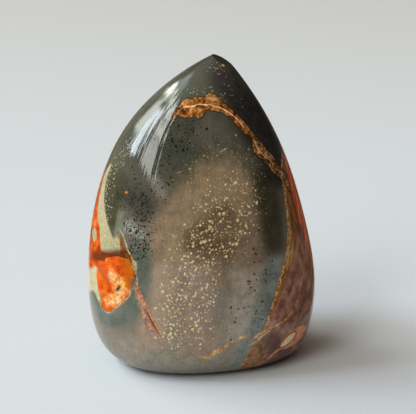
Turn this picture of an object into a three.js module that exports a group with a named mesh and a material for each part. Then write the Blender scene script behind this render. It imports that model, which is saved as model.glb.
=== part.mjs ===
// A polished flame of polychrome jasper: one solid stone with a flat cut base, a round belly and a blunt point
// that leans to the right, with a small chip on the right side of the point.
// Millimetres, +Z up. The wide face looks towards -Y, and the origin is on the base, under the middle of the box.
import * as THREE from "three";

// Control stations of the level sections, from the base up. A smooth curve runs close by them, not through them,
// apart from the first and the last: z is the height, width and depth are half sizes, and x and y say how far
// the section's middle lies from the upright axis.
const STATIONS = [
  { z: 0.0, width: 18.6, depth: 12.0, x: 1.6, y: 0.0 },
  { z: 0.5, width: 23.0, depth: 16.0, x: 0.9, y: 0.0 },
  { z: 5.5, width: 27.6, depth: 20.0, x: -0.3, y: 0.0 },
  { z: 19.0, width: 29.6, depth: 20.5, x: -0.3, y: 0.0 },
  { z: 36.0, width: 27.2, depth: 19.0, x: -1.5, y: 0.0 },
  { z: 51.0, width: 23.1, depth: 15.8, x: -1.8, y: 0.3 },
  { z: 63.0, width: 16.9, depth: 11.6, x: -1.2, y: 0.6 },
  { z: 72.0, width: 8.9, depth: 7.0, x: 0.9, y: 0.9 },
  { z: 77.2, width: 2.4, depth: 2.1, x: 3.2, y: 1.0 },
  { z: 78.6, width: 0.0, depth: 0.0, x: 4.0, y: 1.0 },
];
const SQUARENESS = 0.015; // how far the oval section fills out towards its corners, as a share of its size
const BACK_FULLNESS = 0.05; // how much further the back stands out than the front, as a share of the depth

// The chip is flat: whatever stands over this plane is missing from the point.
const CHIP = new THREE.Plane().setFromNormalAndCoplanarPoint(
  new THREE.Vector3(0.47, -0.2, 0.86).normalize(),
  new THREE.Vector3(3.4, 1.0, 77.2),
);

const RINGS = 46; // level rings between the flat base and the point
const SEGMENTS = 72; // points round each ring
const CROWDING = 0.6; // how much closer the rings lie at the two ends: 0 is evenly, 1 is as a cosine
const FINE_STEPS = 2000; // steps of the fine walk up the side that measures its length

// The uniform cubic B-spline through the stations, t from 0 at the base to 1 at the point. Each end station counts
// three times, so the curve starts and ends on it.
function stationAt(t) {
  const ends = [STATIONS[0], STATIONS.at(-1)];
  const controls = [ends[0], ends[0], ...STATIONS, ends[1], ends[1]];
  const spans = controls.length - 3;
  const span = Math.min(Math.floor(t * spans), spans - 1);
  const w = t * spans - span;
  const weights = [
    (1 - w) ** 3 / 6,
    (3 * w ** 3 - 6 * w ** 2 + 4) / 6,
    (-3 * w ** 3 + 3 * w ** 2 + 3 * w + 1) / 6,
    w ** 3 / 6,
  ];
  const blend = (key) => weights.reduce((sum, weight, i) => sum + weight * controls[span + i][key], 0);
  return { z: blend("z"), width: blend("width"), depth: blend("depth"), x: blend("x"), y: blend("y") };
}

// The curve's parameters for the rings, spaced by the length of the side and not by the stations, so that the
// flare of the base, the belly and the point all get rings of their own.
function ringParameters() {
  const lengths = [0];
  let last = stationAt(0);
  for (let i = 1; i <= FINE_STEPS; i++) {
    const next = stationAt(i / FINE_STEPS);
    lengths.push(lengths[i - 1] + Math.hypot(next.width - last.width, next.z - last.z));
    last = next;
  }
  const parameters = [];
  let step = 0;
  for (let ring = 0; ring < RINGS; ring++) {
    const even = ring / RINGS;
    const share = THREE.MathUtils.lerp(even, (1 - Math.cos(Math.PI * even)) / 2, CROWDING);
    const target = share * lengths[FINE_STEPS];
    while (lengths[step + 1] < target) step++;
    const within = (target - lengths[step]) / (lengths[step + 1] - lengths[step]);
    parameters.push((step + within) / FINE_STEPS);
  }
  return parameters;
}

// A point on the side at one station and one angle, seen from above and counted from +X towards +Y. The section
// is an oval plus its third harmonic, which squares it a little, with the back half a little fuller.
function sidePoint(station, angle) {
  const across = (Math.cos(angle) - SQUARENESS * Math.cos(3 * angle)) / (1 - SQUARENESS);
  const along = (Math.sin(angle) + SQUARENESS * Math.sin(3 * angle)) / (1 - SQUARENESS);
  const bulge = BACK_FULLNESS * Math.sin(angle) ** 2;
  return new THREE.Vector3(
    station.x + station.width * across,
    station.y + station.depth * (along + bulge),
    station.z,
  );
}

// A point that stands over the chip's plane is brought down onto it.
function chipped(point) {
  return CHIP.distanceToPoint(point) > 0 ? CHIP.projectPoint(point, new THREE.Vector3()) : point;
}

// The whole stone: the rings of the side, a fan that closes the flat base and a fan that closes the point.
function stoneGeometry() {
  const points = [];
  for (const parameter of ringParameters()) {
    const station = stationAt(parameter);
    for (let i = 0; i < SEGMENTS; i++) {
      points.push(chipped(sidePoint(station, (2 * Math.PI * i) / SEGMENTS)));
    }
  }
  const baseMiddle = points.length;
  points.push(new THREE.Vector3(STATIONS[0].x, STATIONS[0].y, STATIONS[0].z));
  const tip = points.length;
  points.push(chipped(sidePoint(STATIONS.at(-1), 0)));

  const faces = [];
  const topRing = (RINGS - 1) * SEGMENTS;
  for (let i = 0; i < SEGMENTS; i++) {
    const next = (i + 1) % SEGMENTS;
    faces.push(baseMiddle, next, i);
    faces.push(tip, topRing + i, topRing + next);
    for (let ring = 0; ring < topRing; ring += SEGMENTS) {
      faces.push(ring + i, ring + next, ring + SEGMENTS + next);
      faces.push(ring + i, ring + SEGMENTS + next, ring + SEGMENTS + i);
    }
  }
  const geometry = new THREE.BufferGeometry().setFromPoints(points);
  geometry.setIndex(faces);
  return geometry;
}

// The stone with its origin on the base, under the middle of its box.
function stone() {
  const geometry = stoneGeometry();
  geometry.computeBoundingBox();
  const middle = geometry.boundingBox.getCenter(new THREE.Vector3());
  geometry.translate(-middle.x, -middle.y, 0);
  geometry.computeVertexNormals();
  const polished = new THREE.MeshStandardMaterial({ color: 0x6b6864, roughness: 0.1, metalness: 0 });
  const mesh = new THREE.Mesh(geometry, polished);
  mesh.name = "jasper_flame";
  return mesh;
}

const model = new THREE.Group();
model.add(stone());

export default model;
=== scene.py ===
# A polished flame of polychrome jasper on a pale floor, lit from the left by a window of six panes and a
# blind. Metres, +Z up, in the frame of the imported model. Shapes and marks are first worked out in mm.
import math

import bpy
import numpy as np
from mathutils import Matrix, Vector
from mathutils.bvhtree import BVHTree


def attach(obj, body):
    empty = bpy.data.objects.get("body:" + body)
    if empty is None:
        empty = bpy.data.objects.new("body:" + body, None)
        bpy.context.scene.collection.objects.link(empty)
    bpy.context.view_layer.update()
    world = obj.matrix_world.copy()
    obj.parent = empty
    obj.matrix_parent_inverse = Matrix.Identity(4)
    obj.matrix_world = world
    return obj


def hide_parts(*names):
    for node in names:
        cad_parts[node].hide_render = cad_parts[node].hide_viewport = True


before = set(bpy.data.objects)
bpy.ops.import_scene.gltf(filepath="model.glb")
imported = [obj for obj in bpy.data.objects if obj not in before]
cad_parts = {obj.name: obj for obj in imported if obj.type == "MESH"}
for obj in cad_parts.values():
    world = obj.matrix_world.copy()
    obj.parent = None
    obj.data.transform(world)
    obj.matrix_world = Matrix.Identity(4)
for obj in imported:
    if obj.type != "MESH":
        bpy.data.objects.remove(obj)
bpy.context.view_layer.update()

MM = 0.001

# The camera: the photograph's angle, distance and field, with the whole frame 416 by 414 pixels.
AZIMUTH = math.radians(-12)
ELEVATION = math.radians(19)
DISTANCE_MM = 380.0
AIM_MM = np.array([1.7, 0.0, 39.0])
FRAME_WIDTH_PX = 416
FOCAL_PX = 1520.0
SENSOR_MM = 36.0
TO_CAMERA = np.array([
    math.sin(AZIMUTH) * math.cos(ELEVATION),
    -math.cos(AZIMUTH) * math.cos(ELEVATION),
    math.sin(ELEVATION),
])
PICTURE_RIGHT = np.array([math.cos(AZIMUTH), math.sin(AZIMUTH), 0.0])
PICTURE_UP = np.cross(TO_CAMERA, PICTURE_RIGHT)
EYE_MM = AIM_MM + TO_CAMERA * DISTANCE_MM


def make_camera():
    """A long lens without depth of field, aimed at the middle of the stone."""
    data = bpy.data.cameras.new("camera")
    data.sensor_width = SENSOR_MM
    data.lens = FOCAL_PX / FRAME_WIDTH_PX * SENSOR_MM
    data.clip_start = 0.01
    camera = bpy.data.objects.new("camera", data)
    bpy.context.collection.objects.link(camera)
    camera.location = Vector(EYE_MM * MM)
    camera.rotation_mode = "QUATERNION"
    camera.rotation_quaternion = Vector(-TO_CAMERA).to_track_quat("-Z", "Y")
    bpy.context.scene.camera = camera


def linear(hex_colour):
    """An sRGB hex colour such as "8A8174" as linear red, green, blue and alpha."""
    parts = [int(hex_colour[i:i + 2], 16) / 255 for i in (0, 2, 4)]
    return [p / 12.92 if p <= 0.04045 else ((p + 0.055) / 1.055) ** 2.4 for p in parts] + [1.0]


def add(tree, kind, inputs=None, output=0, stops=None, **settings):
    """Adds one shader node with its settings. Returns one of its outputs, told by number or name.

    An input is a plain value, or the output socket that it links to. Stops are a colour ramp's places and
    colours."""
    node = tree.nodes.new("ShaderNode" + kind)
    for name, value in settings.items():
        setattr(node, name, value)
    for key, value in (inputs or {}).items():
        if isinstance(value, bpy.types.NodeSocket):
            tree.links.new(value, node.inputs[key])
        else:
            node.inputs[key].default_value = value
    if stops:
        elements = node.color_ramp.elements
        elements.remove(elements[1])
        for place, colour in stops.items():
            element = elements.new(place)
            element.color = linear(colour) if isinstance(colour, str) else (*colour, 1.0)
        elements.remove(elements[0])
    return node.outputs[output]


def new_material(name):
    """An empty material with its shader output.

    Returns the material, its tree and the output's surface socket."""
    material = bpy.data.materials.new(name)
    material.use_nodes = True
    tree = material.node_tree
    tree.nodes.clear()
    surface = tree.nodes.new("ShaderNodeOutputMaterial").inputs["Surface"]
    return material, tree, surface


# The stone's form. The stations, the oval section and the chip are those of the solid model. Of a station, z
# is the height, width and depth are half sizes, and x and y place its middle beside the upright axis.
#     z, width, depth,    x,   y
STATIONS = np.array([
    (0.0, 18.6, 12.0, 1.6, 0.0),
    (0.5, 23.0, 16.0, 0.9, 0.0),
    (5.5, 27.6, 20.0, -0.3, 0.0),
    (19.0, 29.6, 20.5, -0.3, 0.0),
    (36.0, 27.2, 19.0, -1.5, 0.0),
    (51.0, 23.1, 15.8, -1.8, 0.3),
    (63.0, 16.9, 11.6, -1.2, 0.6),
    (72.0, 8.9, 7.0, 0.9, 0.9),
    (77.2, 2.4, 2.1, 3.2, 1.0),
    (78.6, 0.0, 0.0, 4.0, 1.0),
])
SQUARENESS = 0.015
BACK_FULLNESS = 0.05  # how much fuller than an even oval the back is, and how much flatter the front
CHIP_POINT = np.array([3.4, 1.0, 77.2])
CHIP_NORMAL = np.array([0.47, -0.2, 0.86]) / np.linalg.norm([0.47, -0.2, 0.86])
RINGS = 285
SEGMENTS = 324
BASE_RINGS = 10
CROWDING = 0.25  # how much closer the rings lie at the base and the point than between, as a share
CURVE_SAMPLES = 4000
WHEEL_RADIUS_MM = 24.0


def stations_at(t):
    """The uniform cubic B-spline that follows the stations, at every t from 0 to 1.

    Each end station counts thrice, so the curve starts and ends there."""
    controls = np.vstack([STATIONS[:1], STATIONS[:1], STATIONS, STATIONS[-1:], STATIONS[-1:]])
    spans = len(controls) - 3
    span = np.minimum((t * spans).astype(int), spans - 1)
    w = (t * spans - span)[:, None]
    return (
        (1 - w) ** 3 * controls[span]
        + (3 * w**3 - 6 * w**2 + 4) * controls[span + 1]
        + (-3 * w**3 + 3 * w**2 + 3 * w + 1) * controls[span + 2]
        + w**3 * controls[span + 3]
    ) / 6


def distance_along(points):
    """How far along a line of points each of them lies."""
    steps = np.linalg.norm(np.diff(points, axis=0), axis=1)
    return np.concatenate([[0], np.cumsum(steps)])


def ring_parameters(count):
    """The curve's parameter for each ring.

    The rings lie in even steps along the side, which get a little shorter towards both ends."""
    fine = np.linspace(0, 1, CURVE_SAMPLES)
    length = distance_along(stations_at(fine)[:, :2])
    even = np.arange(count) / count
    share = (1 - CROWDING) * even + CROWDING * (1 - np.cos(np.pi * even)) / 2
    return np.interp(share * length[-1], length, fine)


def side_points(stations, angles):
    """Points on the side: an oval plus its third harmonic, which squares it, with a fuller back half.

    Whatever stands over the chip's plane is brought down onto it."""
    z, width, depth, x, y = (stations[..., i] for i in range(5))
    across = (np.cos(angles) - SQUARENESS * np.cos(3 * angles)) / (1 - SQUARENESS)
    along = (np.sin(angles) + SQUARENESS * np.sin(3 * angles)) / (1 - SQUARENESS)
    along = along + BACK_FULLNESS * np.sin(angles) ** 2
    points = np.stack([x + width * across, y + depth * along, z + 0 * across], axis=-1)
    over = np.maximum((points - CHIP_POINT) @ CHIP_NORMAL, 0)
    return points - over[..., None] * CHIP_NORMAL


def wheel_paths(rows, angles):
    """For each point of the rows a place on a tube about as wide as the belly, for the wheel's marks.

    It goes round the tube by the angle, and up it by the distance from the first row. The base's middle and
    the stone's point come last, on the tube's axis."""
    along = distance_along(rows[:, 0])[:, None] + 0 * angles
    across = WHEEL_RADIUS_MM * np.cos(angles) + 0 * along
    depth = WHEEL_RADIUS_MM * np.sin(angles) + 0 * along
    places = np.stack([across, depth, along], axis=-1).reshape(-1, 3)
    return np.vstack([places, [(0, 0, 0), (0, 0, along[-1, 0])]])


def stone_form():
    """The stone as rows of points: the flat base from its middle out, then the level rings up to the point.

    Returns the points, their places for the wheel's marks, how many rows there are, and the shift that puts
    the origin under the middle of the box."""
    angles = np.arange(SEGMENTS) * 2 * np.pi / SEGMENTS
    rings = side_points(stations_at(ring_parameters(RINGS))[:, None, :], angles[None, :])
    middle = np.array([STATIONS[0, 3], STATIONS[0, 4], 0.0])
    reach = (np.arange(1, BASE_RINGS) / BASE_RINGS)[:, None, None]
    base = middle + reach * (rings[0] - middle)
    rows = np.concatenate([base, rings])
    tip = side_points(STATIONS[-1], np.array(0.0))
    everything = np.vstack([rows.reshape(-1, 3), [middle], [tip]])
    low, high = everything.min(axis=0), everything.max(axis=0)
    shift = -np.array([(low[0] + high[0]) / 2, (low[1] + high[1]) / 2, 0.0])
    return everything + shift, wheel_paths(rows, angles), len(rows), shift


def stone_mesh(points, row_count):
    """Quads between the rows, fans at the base's middle and at the point, and one wrap-around UV map."""
    column = np.arange(SEGMENTS)
    after = (column + 1) % SEGMENTS
    row = np.arange(row_count - 1)[:, None] * SEGMENTS
    quads = np.stack([row + column, row + after, row + SEGMENTS + after, row + SEGMENTS + column], axis=-1)
    quads = quads.reshape(-1, 4)
    middle, tip = row_count * SEGMENTS, row_count * SEGMENTS + 1
    top = (row_count - 1) * SEGMENTS
    base_fan = np.stack([np.full(SEGMENTS, middle), after, column], axis=-1)
    tip_fan = np.stack([np.full(SEGMENTS, tip), top + column, top + after], axis=-1)
    mesh = bpy.data.meshes.new("jasper_flame_polished")
    mesh.from_pydata(points * MM, [], quads.tolist() + base_fan.tolist() + tip_fan.tolist())
    u = column / SEGMENTS
    u_after = u + 1 / SEGMENTS
    v = ((np.arange(row_count) + 1) / (row_count + 1))[:, None] + 0 * u
    corners = ((u, v[:-1]), (u_after, v[:-1]), (u_after, v[1:]), (u, v[1:]))
    quad_uv = [np.stack([across + 0 * up, up], axis=-1) for across, up in corners]
    quad_uv = np.stack(quad_uv, axis=2).reshape(-1, 2)
    half = u + 0.5 / SEGMENTS
    base_uv = np.stack([half, 0 * u, u_after, v[0], u, v[0]], axis=-1).reshape(-1, 2)
    tip_uv = np.stack([half, 0 * u + 1, u, v[-1], u_after, v[-1]], axis=-1).reshape(-1, 2)
    layer = mesh.uv_layers.new(name="OFBake")
    layer.data.foreach_set("uv", np.concatenate([quad_uv, base_uv, tip_uv]).ravel())
    mesh.polygons.foreach_set("use_smooth", np.ones(len(mesh.polygons), bool))
    mesh.update()
    return mesh


class MarkedSurface:
    """The stone's surface as points in mm, on which marks are laid out and kept as attributes of the mesh.

    A patch is kept as the depth inside its outline, and a line as how far a point lies across it and its half
    width there. Both are real millimetres, so the material can fray a mark's edge as finely as it likes."""

    REACH = 8.0  # how far from a line its numbers are worked out, and how far a patch's depth goes below 0
    PATCH_REACH = 12.0  # how far from an outline a patch's depth is worked out
    PATCH_STEP = 0.5
    LINE_STEP = 0.35
    GLOW_STEP = 1.5
    SPOT_SAMPLES = 30  # steps of a curve from one spot to the next, before they are made even
    HEIGHT_SAMPLES = 2000  # steps of the stone's curve, in which a height is looked up
    NUDGE = 0.01  # lifts a point clear of an outline that runs level with it
    END_GAP = 1e-6  # what rounding may leave at the end of a line

    def __init__(self, mesh, points, shift):
        self.mesh, self.points, self.shift = mesh, points, shift
        normals = np.empty(len(points) * 3, np.float32)
        mesh.vertex_normals.foreach_get("vector", normals)
        self.normals = normals.reshape(-1, 3)
        corners = [tuple(face.vertices) for face in mesh.polygons]
        self.tree = BVHTree.FromPolygons(points.tolist(), corners)

    def on_face(self, spots):
        """Spots of the shown face, as mm right of and above the picture's middle.

        They lie on the plane through the aim. Each goes along its line of sight onto the stone, or to the
        stone's nearest place if it runs past."""
        found = []
        for right, up in spots:
            target = AIM_MM + right * PICTURE_RIGHT + up * PICTURE_UP
            hit = self.tree.ray_cast(Vector(EYE_MM), Vector(target - EYE_MM))[0]
            found.append(hit or self.tree.find_nearest(Vector(target))[0])
        return np.array(found)

    def on_side(self, spots):
        """Spots of the side, as degrees from +X towards +Y and mm above the base.

        A height below the base stays there, so an outline can pass under the stone."""
        angles, heights = np.array(spots, float).T
        fine = np.linspace(0, 1, self.HEIGHT_SAMPLES)
        t = np.interp(np.maximum(heights, 0), stations_at(fine)[:, 0], fine)
        found = side_points(stations_at(t), np.radians(angles)) + self.shift
        found[:, 2] = np.where(heights < 0, heights, found[:, 2])
        return found

    def smooth(self, spots, step, closed=False):
        """A Catmull-Rom curve through the spots in even steps, dropped onto the stone.

        Columns after the first three, such as a half width, go along with it."""
        if closed:
            controls = np.vstack([spots[-1:], spots, spots[:2]])
        else:
            controls = np.vstack([2 * spots[:1] - spots[1:2], spots, 2 * spots[-1:] - spots[-2:-1]])
        w = np.linspace(0, 1, self.SPOT_SAMPLES, endpoint=False)[None, :, None]
        a, b, c, d = (controls[i:len(controls) - 3 + i, None, :] for i in range(4))
        curve = (
            2 * b
            + (c - a) * w
            + (2 * a - 5 * b + 4 * c - d) * w**2
            + (3 * b - a - 3 * c + d) * w**3
        ) / 2
        curve = np.vstack([curve.reshape(-1, spots.shape[1]), controls[-2:-1]])
        travelled = distance_along(curve[:, :3])
        even = np.linspace(0, travelled[-1], max(2, int(travelled[-1] / step) + 1))
        curve = np.stack([np.interp(even, travelled, column) for column in curve.T], axis=-1)
        for point in curve:
            if point[2] > 0:
                point[:3] = self.tree.find_nearest(Vector(point[:3]))[0]
        return curve

    def nearest(self, line, reach=REACH):
        """Where a line of steps passes closest to each point that may be within reach of it.

        Returns which points these are, and for them the offset from the line, the line's direction there and
        the distance travelled along it. The line's whole length comes last."""
        low, high = line.min(axis=0) - reach, line.max(axis=0) + reach
        near = ((self.points > low) & (self.points < high)).all(axis=1)
        points = self.points[near]
        closest = np.full(len(points), np.inf)
        offset, direction = np.zeros_like(points), np.zeros_like(points)
        along = np.zeros(len(points))
        travelled = 0.0
        for start, end in zip(line[:-1], line[1:]):
            length = np.linalg.norm(end - start)
            if length == 0:
                continue
            axis = (end - start) / length
            share = np.clip((points - start) @ axis, 0, length)
            gap = points - start - share[:, None] * axis
            distance = np.einsum("ij,ij->i", gap, gap)
            closer = distance < closest
            closest[closer], offset[closer], direction[closer] = distance[closer], gap[closer], axis
            along[closer] = travelled + share[closer]
            travelled += length
        return near, offset, direction, along, travelled

    def keep(self, name, values):
        """Stores one number, or three, for each point of the mesh."""
        kind, field = ("FLOAT_VECTOR", "vector") if values.ndim == 2 else ("FLOAT", "value")
        layer = self.mesh.attributes.new(name, kind, "POINT")
        layer.data.foreach_set(field, values.astype(np.float32).ravel())

    def patch(self, name, spots):
        """A patch: the depth inside a closed outline through the spots, which is negative outside of it.

        Inside is told by how often the outline is crossed on the way up, in a map of angle and height."""
        outline = self.smooth(spots, self.PATCH_STEP, closed=True)
        near, offset, *_ = self.nearest(outline, self.PATCH_REACH)
        middle = np.arctan2(outline[:, 1].mean(), outline[:, 0].mean())

        def angle_of(points):
            return (np.arctan2(points[:, 1], points[:, 0]) - middle + np.pi) % (2 * np.pi) - np.pi

        angle, height = angle_of(self.points[near]), self.points[near][:, 2] + self.NUDGE
        edge_angle, edge_height = angle_of(outline), outline[:, 2]
        inside = np.zeros(len(angle), bool)
        for i in range(len(outline) - 1):
            a, b = edge_angle[i], edge_angle[i + 1]
            if a != b:
                share = (angle - a) / (b - a)
                crossing = edge_height[i] + share * (edge_height[i + 1] - edge_height[i])
                inside ^= ((angle >= a) != (angle >= b)) & (height < crossing)
        depth = np.full(len(self.points), -self.REACH)
        size = np.linalg.norm(offset, axis=1)
        depth[near] = np.where(inside, size, np.maximum(-size, -self.REACH))
        self.keep(name, depth)
        return depth

    def line(self, name, spots, half_widths):
        """A line through the spots: the signed distance across it and its half width, and then 0."""
        curve = self.smooth(np.column_stack([spots, half_widths]), self.LINE_STEP)
        near, offset, direction, along, total = self.nearest(curve[:, :3])
        distance = np.linalg.norm(offset, axis=1)
        sideways = np.cross(self.normals[near], direction)
        across = np.where(np.einsum("ij,ij->i", offset, sideways) < 0, -distance, distance)
        half_width = np.interp(along, distance_along(curve[:, :3]), curve[:, 3])
        past_end = (along <= 0) | (along >= total - self.END_GAP)
        half_width = np.where(past_end | (distance > self.REACH / 2), -distance, half_width)
        values = np.tile([self.REACH, -self.REACH, 0.0], (len(self.points), 1))
        values[near, :2] = np.stack([across, half_width], axis=-1)
        self.keep(name, values)

    def glow(self, name, spots, reach):
        """A soft zone: 1 on the line through the spots, 0 at its reach in mm and -1 at twice that."""
        curve = self.smooth(spots, self.GLOW_STEP)
        near, offset, *_ = self.nearest(curve, 2 * reach)
        share = np.full(len(self.points), -1.0)
        share[near] = np.maximum(1 - np.linalg.norm(offset, axis=1) / reach, -1)
        self.keep(name, share)


# Where the marks of the shown face lie, in mm right of and above the picture's middle. A line's spots have
# its half width as a third number, where less than 0 breaks the line off, and a soft zone has its reach.
FACE_PATCHES = {
    "caramel_vein": [
        (-8.4, 23.7), (-7.4, 25.0), (-6.2, 26.3), (-4.5, 27.2), (-2.4, 27.4), (-0.8, 27.4), (0.2, 28.4),
        (1.6, 28.0), (3.8, 26.2), (6.2, 24.0), (8.4, 21.8), (10.4, 19.4), (12.4, 16.9), (14.7, 14.2),
        (16.4, 12.2), (18.0, 10.1), (19.4, 8.0), (20.4, 5.6), (21.1, 3.0), (19.9, 4.9), (18.5, 7.2),
        (17.0, 8.0), (15.4, 10.0), (13.4, 12.0), (12.0, 13.4), (11.3, 15.2), (10.8, 17.4), (8.8, 18.8),
        (7.0, 20.6), (5.6, 22.4), (3.6, 23.6), (1.4, 24.3), (-0.6, 24.1), (-1.9, 22.1), (-3.1, 22.7),
        (-4.3, 22.6), (-5.6, 22.3), (-7.0, 22.8), (-8.6, 21.9),
    ],
    "eye_flesh": [
        (21.2, -30.6), (22.8, -29.8), (24.2, -29.6), (24.7, -30.4), (23.9, -31.9), (22.5, -33.4),
        (20.8, -34.7), (19.0, -35.5), (18.1, -35.6), (17.9, -34.6), (18.8, -33.0), (20.0, -31.5),
    ],
    "eye_core": [
        (18.1, -35.0), (18.5, -34.0), (19.6, -32.7), (20.9, -31.6), (21.9, -31.3), (21.7, -32.1),
        (20.8, -33.4), (19.4, -34.6),
    ],
    "olive_foot": [
        (12.4, -33.9), (10.6, -35.8), (7.2, -41.0), (11.0, -40.2), (14.6, -38.4), (14.6, -36.5),
        (13.8, -34.5),
    ],
    "cream_strip": [
        (-24.4, 10.8), (-25.8, 8.2), (-26.6, 5.4), (-27.2, 2.2), (-27.6, -1.2), (-27.4, -3.8), (-27.0, -6.2),
        (-26.9, -9.0), (-26.5, -11.0), (-24.4, -11.5), (-21.9, -11.5), (-22.0, -9.8), (-22.2, -8.2),
        (-22.8, -7.4), (-23.6, -8.0), (-24.4, -6.2), (-25.2, -3.6), (-25.8, -0.6), (-26.0, 2.4), (-25.7, 5.4),
        (-25.0, 8.4), (-24.2, 10.4),
    ],
    "rust_sliver": [
        (-22.2, -6.2), (-21.5, -8.2), (-20.6, -10.6), (-18.6, -12.4), (-18.4, -14.6), (-18.0, -17.4),
        (-18.8, -17.6), (-19.4, -15.0), (-20.8, -13.0), (-22.5, -12.4), (-24.0, -12.0), (-22.0, -11.6),
        (-22.0, -9.0),
    ],
    "cream_blob": [
        (-18.9, -13.6), (-18.2, -13.4), (-17.7, -14.5), (-17.8, -15.9), (-18.4, -15.8), (-18.9, -14.6),
    ],
    "orange_patch": [
        (-27.7, -13.6), (-26.8, -13.5), (-26.0, -13.8), (-25.4, -12.8), (-24.0, -12.4), (-22.6, -12.4),
        (-21.2, -12.7), (-19.8, -13.4), (-18.8, -14.8), (-18.3, -16.6), (-18.6, -18.0), (-19.2, -19.2),
        (-19.3, -20.8), (-19.7, -22.2), (-21.4, -23.5), (-22.9, -24.8), (-24.1, -26.0), (-25.6, -25.8),
        (-26.6, -24.6), (-26.7, -22.4), (-27.4, -20.6), (-27.7, -18.6), (-27.9, -17.0), (-27.6, -15.4),
    ],
    "side_blob": [
        (-29.0, -6.9), (-28.8, -5.6), (-28.4, -5.0), (-28.0, -5.7), (-27.8, -7.0), (-27.9, -8.0),
        (-28.3, -8.5), (-28.8, -8.0),
    ],
    "rust_wedge": [
        (-18.8, -17.4), (-17.8, -19.6), (-16.8, -22.0), (-15.6, -25.0), (-14.2, -27.8), (-12.9, -30.2),
        (-11.5, -32.6), (-13.2, -31.4), (-14.6, -31.2), (-15.7, -30.4), (-16.4, -27.8), (-17.2, -24.8),
        (-18.0, -22.6), (-18.9, -20.0),
    ],
}
FACE_LINES = {
    "vein_gold": [
        (-6.6, 24.8, 0.0), (-5.4, 25.1, 0.14), (-4.2, 25.1, 0.2), (-2.0, 25.7, 0.13), (-0.8, 25.5, 0.18),
        (0.6, 25.6, 0.12), (1.8, 25.1, 0.16), (3.4, 24.7, 0.18), (5.5, 23.4, 0.2), (7.2, 22.0, 0.16),
        (8.2, 20.8, 0.16), (9.6, 18.9, 0.0),
    ],
    "vein_braid": [
        (10.8, 17.8, 0.0), (11.8, 16.0, 0.14), (12.6, 14.4, 0.16), (14.2, 12.6, 0.13), (15.6, 11.6, 0.16),
        (17.0, 9.6, 0.13), (18.6, 8.4, 0.12), (19.8, 6.0, 0.0),
    ],
    "gold_fold": [
        (8.9, -34.2, 0.0), (10.2, -33.5, 0.2), (12.0, -32.4, 0.32), (13.8, -31.2, 0.36), (15.5, -30.4, 0.2),
        (17.2, -29.5, 0.13), (18.8, -28.6, 0.13), (19.8, -27.8, 0.22), (20.5, -26.9, 0.24),
        (21.5, -25.2, 0.13), (22.1, -23.9, 0.2), (22.9, -21.8, 0.14), (23.2, -19.6, 0.09),
        (23.8, -17.2, 0.06), (24.1, -14.8, 0.0),
    ],
    "fold_strand": [
        (9.6, -34.9, 0.0), (11.4, -34.0, 0.16), (13.0, -32.7, 0.18), (14.6, -31.5, 0.12), (16.4, -30.6, 0.0),
    ],
    "lower_vein": [
        (-2.2, -37.5, 0.2), (-1.2, -37.5, 0.5), (0.2, -37.3, 0.6), (1.5, -36.6, 0.5), (2.8, -36.0, 0.6),
        (4.6, -34.9, 0.55), (6.0, -33.8, 0.38), (8.4, -32.6, 0.28), (10.7, -31.8, 0.0),
    ],
    "eye_tail": [(18.2, -35.4, 0.25), (17.0, -36.1, 0.45), (15.8, -37.2, 0.35), (14.5, -38.4, 0.0)],
    "maroon_thread": [(23.5, -9.2, 0.0), (23.6, -10.4, 0.16), (23.8, -11.8, 0.12), (23.8, -13.0, 0.0)],
    "red_thread": [
        (23.5, -6.0, 0.0), (24.0, -12.6, 0.1), (24.1, -16.0, 0.16), (23.3, -20.8, 0.2), (22.6, -23.0, 0.0),
    ],
    "pale_border": [
        (-22.3, -5.2, 0.0), (-21.3, -6.9, 0.16), (-20.7, -8.6, 0.2), (-20.1, -10.6, 0.18),
        (-19.1, -12.4, 0.14), (-18.7, -13.6, 0.25), (-18.2, -15.2, 0.2), (-17.9, -17.0, 0.14),
        (-17.6, -19.0, 0.1), (-17.5, -20.6, 0.0),
    ],
    "patch_rim": [
        (-19.3, -19.8, 0.0), (-19.4, -21.4, 0.12), (-19.8, -22.5, 0.14), (-21.4, -23.8, 0.16),
        (-23.0, -25.2, 0.16), (-24.2, -26.4, 0.14), (-25.6, -26.2, 0.12), (-26.8, -24.8, 0.12),
        (-27.0, -22.4, 0.1), (-27.7, -20.4, 0.0),
    ],
    "wedge_edge": [
        (-18.6, -17.2, 0.0), (-17.6, -19.8, 0.16), (-16.6, -22.2, 0.16), (-15.4, -25.0, 0.18),
        (-14.0, -28.0, 0.14), (-12.7, -30.6, 0.16), (-11.5, -32.6, 0.0),
    ],
    "wedge_seam": [
        (-15.8, -24.9, 0.0), (-14.9, -27.0, 0.14), (-13.9, -29.0, 0.18), (-12.7, -31.0, 0.12),
        (-11.9, -32.2, 0.0),
    ],
    "scratch": [(2.6, 13.5, 0.0), (3.8, 14.2, 0.08), (5.1, 14.9, 0.0)],
    "low_scratch": [(-8.2, 8.3, 0.0), (-7.2, 8.7, 0.07), (-6.0, 9.1, 0.0)],
    "tip_scratches": [
        (1.0, 35.4, -0.2), (1.7, 34.8, 0.07), (2.4, 34.0, -0.2), (2.5, 35.9, -0.2), (3.0, 35.2, 0.07),
        (3.6, 34.3, -0.2), (1.8, 33.9, -0.2), (2.6, 33.2, 0.06), (3.4, 32.7, -0.2),
    ],
}
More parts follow.
